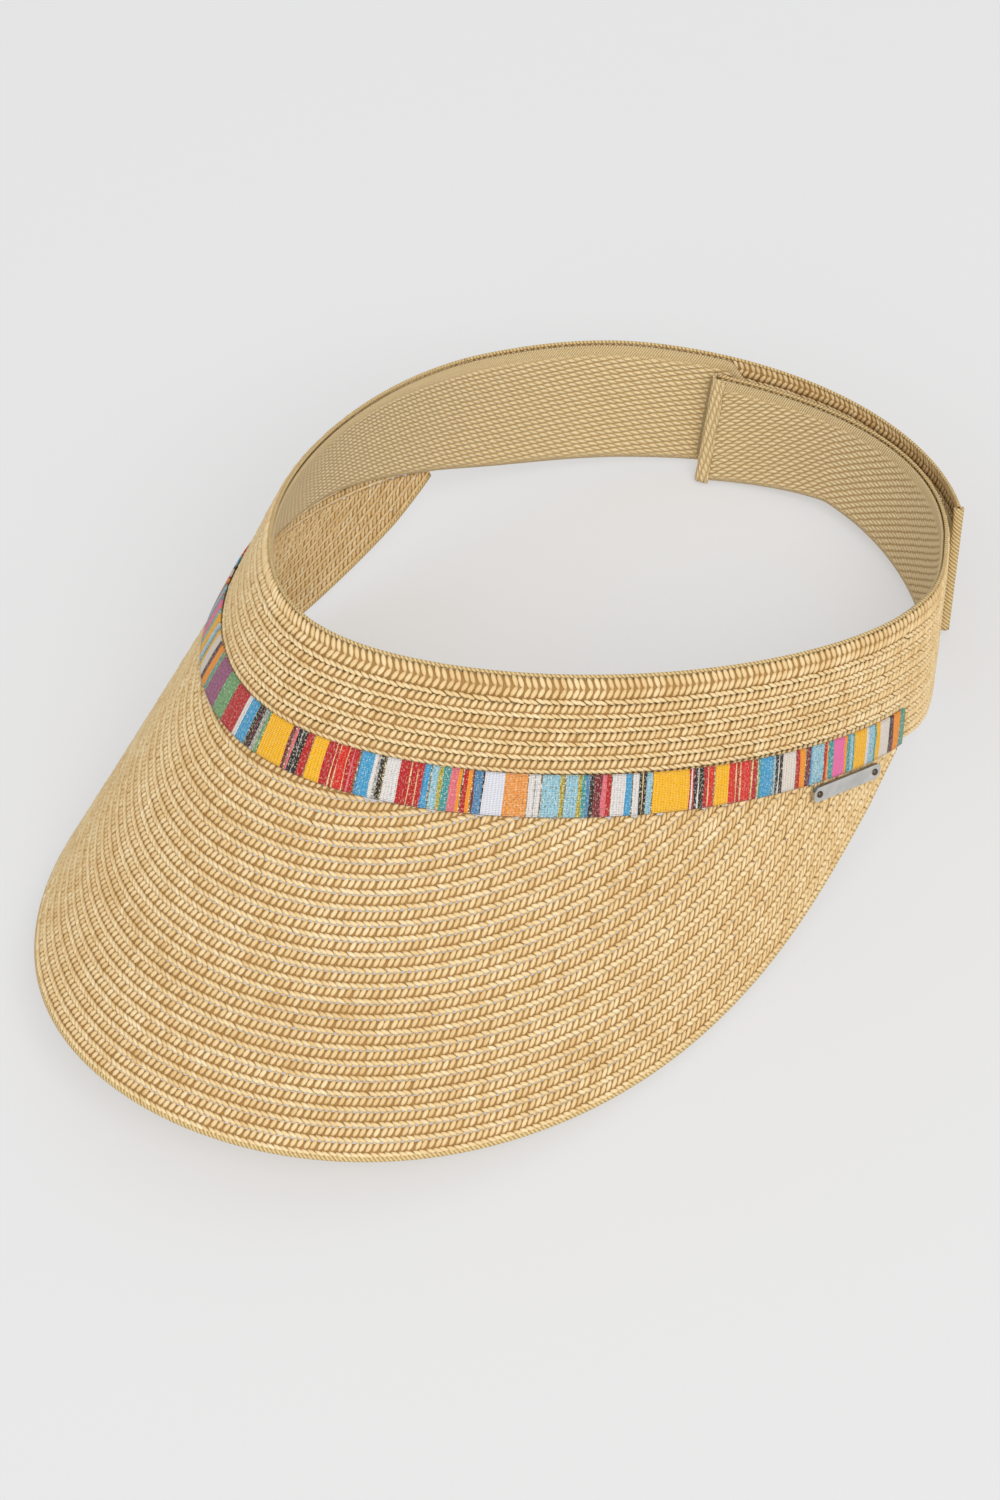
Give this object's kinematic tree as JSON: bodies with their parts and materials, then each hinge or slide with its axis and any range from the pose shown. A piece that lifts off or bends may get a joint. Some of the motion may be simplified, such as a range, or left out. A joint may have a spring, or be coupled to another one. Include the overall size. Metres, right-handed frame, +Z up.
{
  "type": "sun visor",
  "caption": "Open-crown straw sun visor: curved brim of sewn braid rows, striped ribbon, small metal tag, and a back strap that overlaps and closes with hook and loop.",
  "frame": {"origin": "middle of the bounding box on the table that the visor stands on", "axes": "+Z up from the table, -Y towards the front of the brim, +X towards the wearer's left"},
  "size_m": [0.1914, 0.2886, 0.1113],
  "materials": {
    "straw_braid": "natural paper-straw braid, satin",
    "twill_tape": "ribbed twill tape, matt",
    "striped_ribbon": "multicolour warp stripes with metallic threads",
    "tag_steel": "polished",
    "stud_metal": "dark",
    "hook_tape": "moulded hooks",
    "loop_tape": "napped loops",
    "binding": "folded tape, stitched"
  },
  "bodies": {
    "visor_front": {"brim_braid_row_01": "straw_braid", "brim_braid_row_02": "straw_braid", "brim_braid_row_03": "straw_braid", "brim_braid_row_04": "straw_braid", "brim_braid_row_05": "straw_braid", "brim_braid_row_06": "straw_braid", "brim_braid_row_07": "straw_braid", "brim_braid_row_08": "straw_braid", "brim_braid_row_09": "straw_braid", "brim_braid_row_10": "straw_braid", "brim_braid_row_11": "straw_braid", "brim_braid_row_12": "straw_braid", "brim_braid_row_13": "straw_braid", "brim_braid_row_14": "straw_braid", "brim_braid_row_15": "straw_braid", "brim_braid_row_16": "straw_braid", "brim_braid_row_17": "straw_braid", "brim_braid_row_18": "straw_braid", "brim_braid_row_19": "straw_braid", "brim_braid_row_20": "straw_braid", "brim_braid_row_21": "straw_braid", "brim_braid_row_22": "straw_braid", "brim_braid_row_23": "straw_braid", "brim_braid_row_24": "straw_braid", "crown_braid_row_01": "straw_braid", "crown_braid_row_02": "straw_braid", "crown_braid_row_03": "straw_braid", "crown_braid_row_04": "straw_braid", "crown_braid_row_05": "straw_braid", "crown_braid_row_06": "straw_braid", "crown_braid_row_07": "straw_braid", "crown_braid_row_08": "straw_braid", "crown_braid_row_09": "straw_braid", "front_sweatband": "twill_tape", "striped_ribbon": "striped_ribbon", "tag_plate": "tag_steel", "tag_stud_front": "stud_metal", "tag_stud_back": "stud_metal"},
    "outer_strap": {"outer_strap_braid": "straw_braid", "outer_strap_tape": "twill_tape"},
    "outer_tail": {"outer_tail_braid": "straw_braid", "outer_tail_tape": "twill_tape", "hook_patch": "hook_tape", "outer_tail_end_hem": "binding"},
    "inner_strap": {"inner_strap_braid": "straw_braid", "inner_strap_tape": "twill_tape", "loop_patch": "loop_tape", "inner_strap_end_hem": "binding"}
  },
  "joints": [
    {"name": "outer_strap_adjust", "type": "hinge", "parent": "visor_front", "child": "outer_strap", "pos_m": [-0.08502, 0.05655, 0.04441], "axis": [0, 0.418, 0.9084], "range_deg": [-5, 5]},
    {"name": "inner_strap_adjust", "type": "hinge", "parent": "visor_front", "child": "inner_strap", "pos_m": [0.08502, 0.05655, 0.04441], "axis": [0, 0.418, 0.9084], "range_deg": [-5, 5]},
    {"name": "tail_peel", "type": "hinge", "parent": "outer_strap", "child": "outer_tail", "pos_m": [-0.04766, 0.12527, 0.02017], "axis": [0.0562, 0.338, 0.9395], "range_deg": [0, 75]}
  ],
  "couplings": [
    {"joint": "inner_strap_adjust", "follows": "outer_strap_adjust", "ratio": -1}
  ]
}
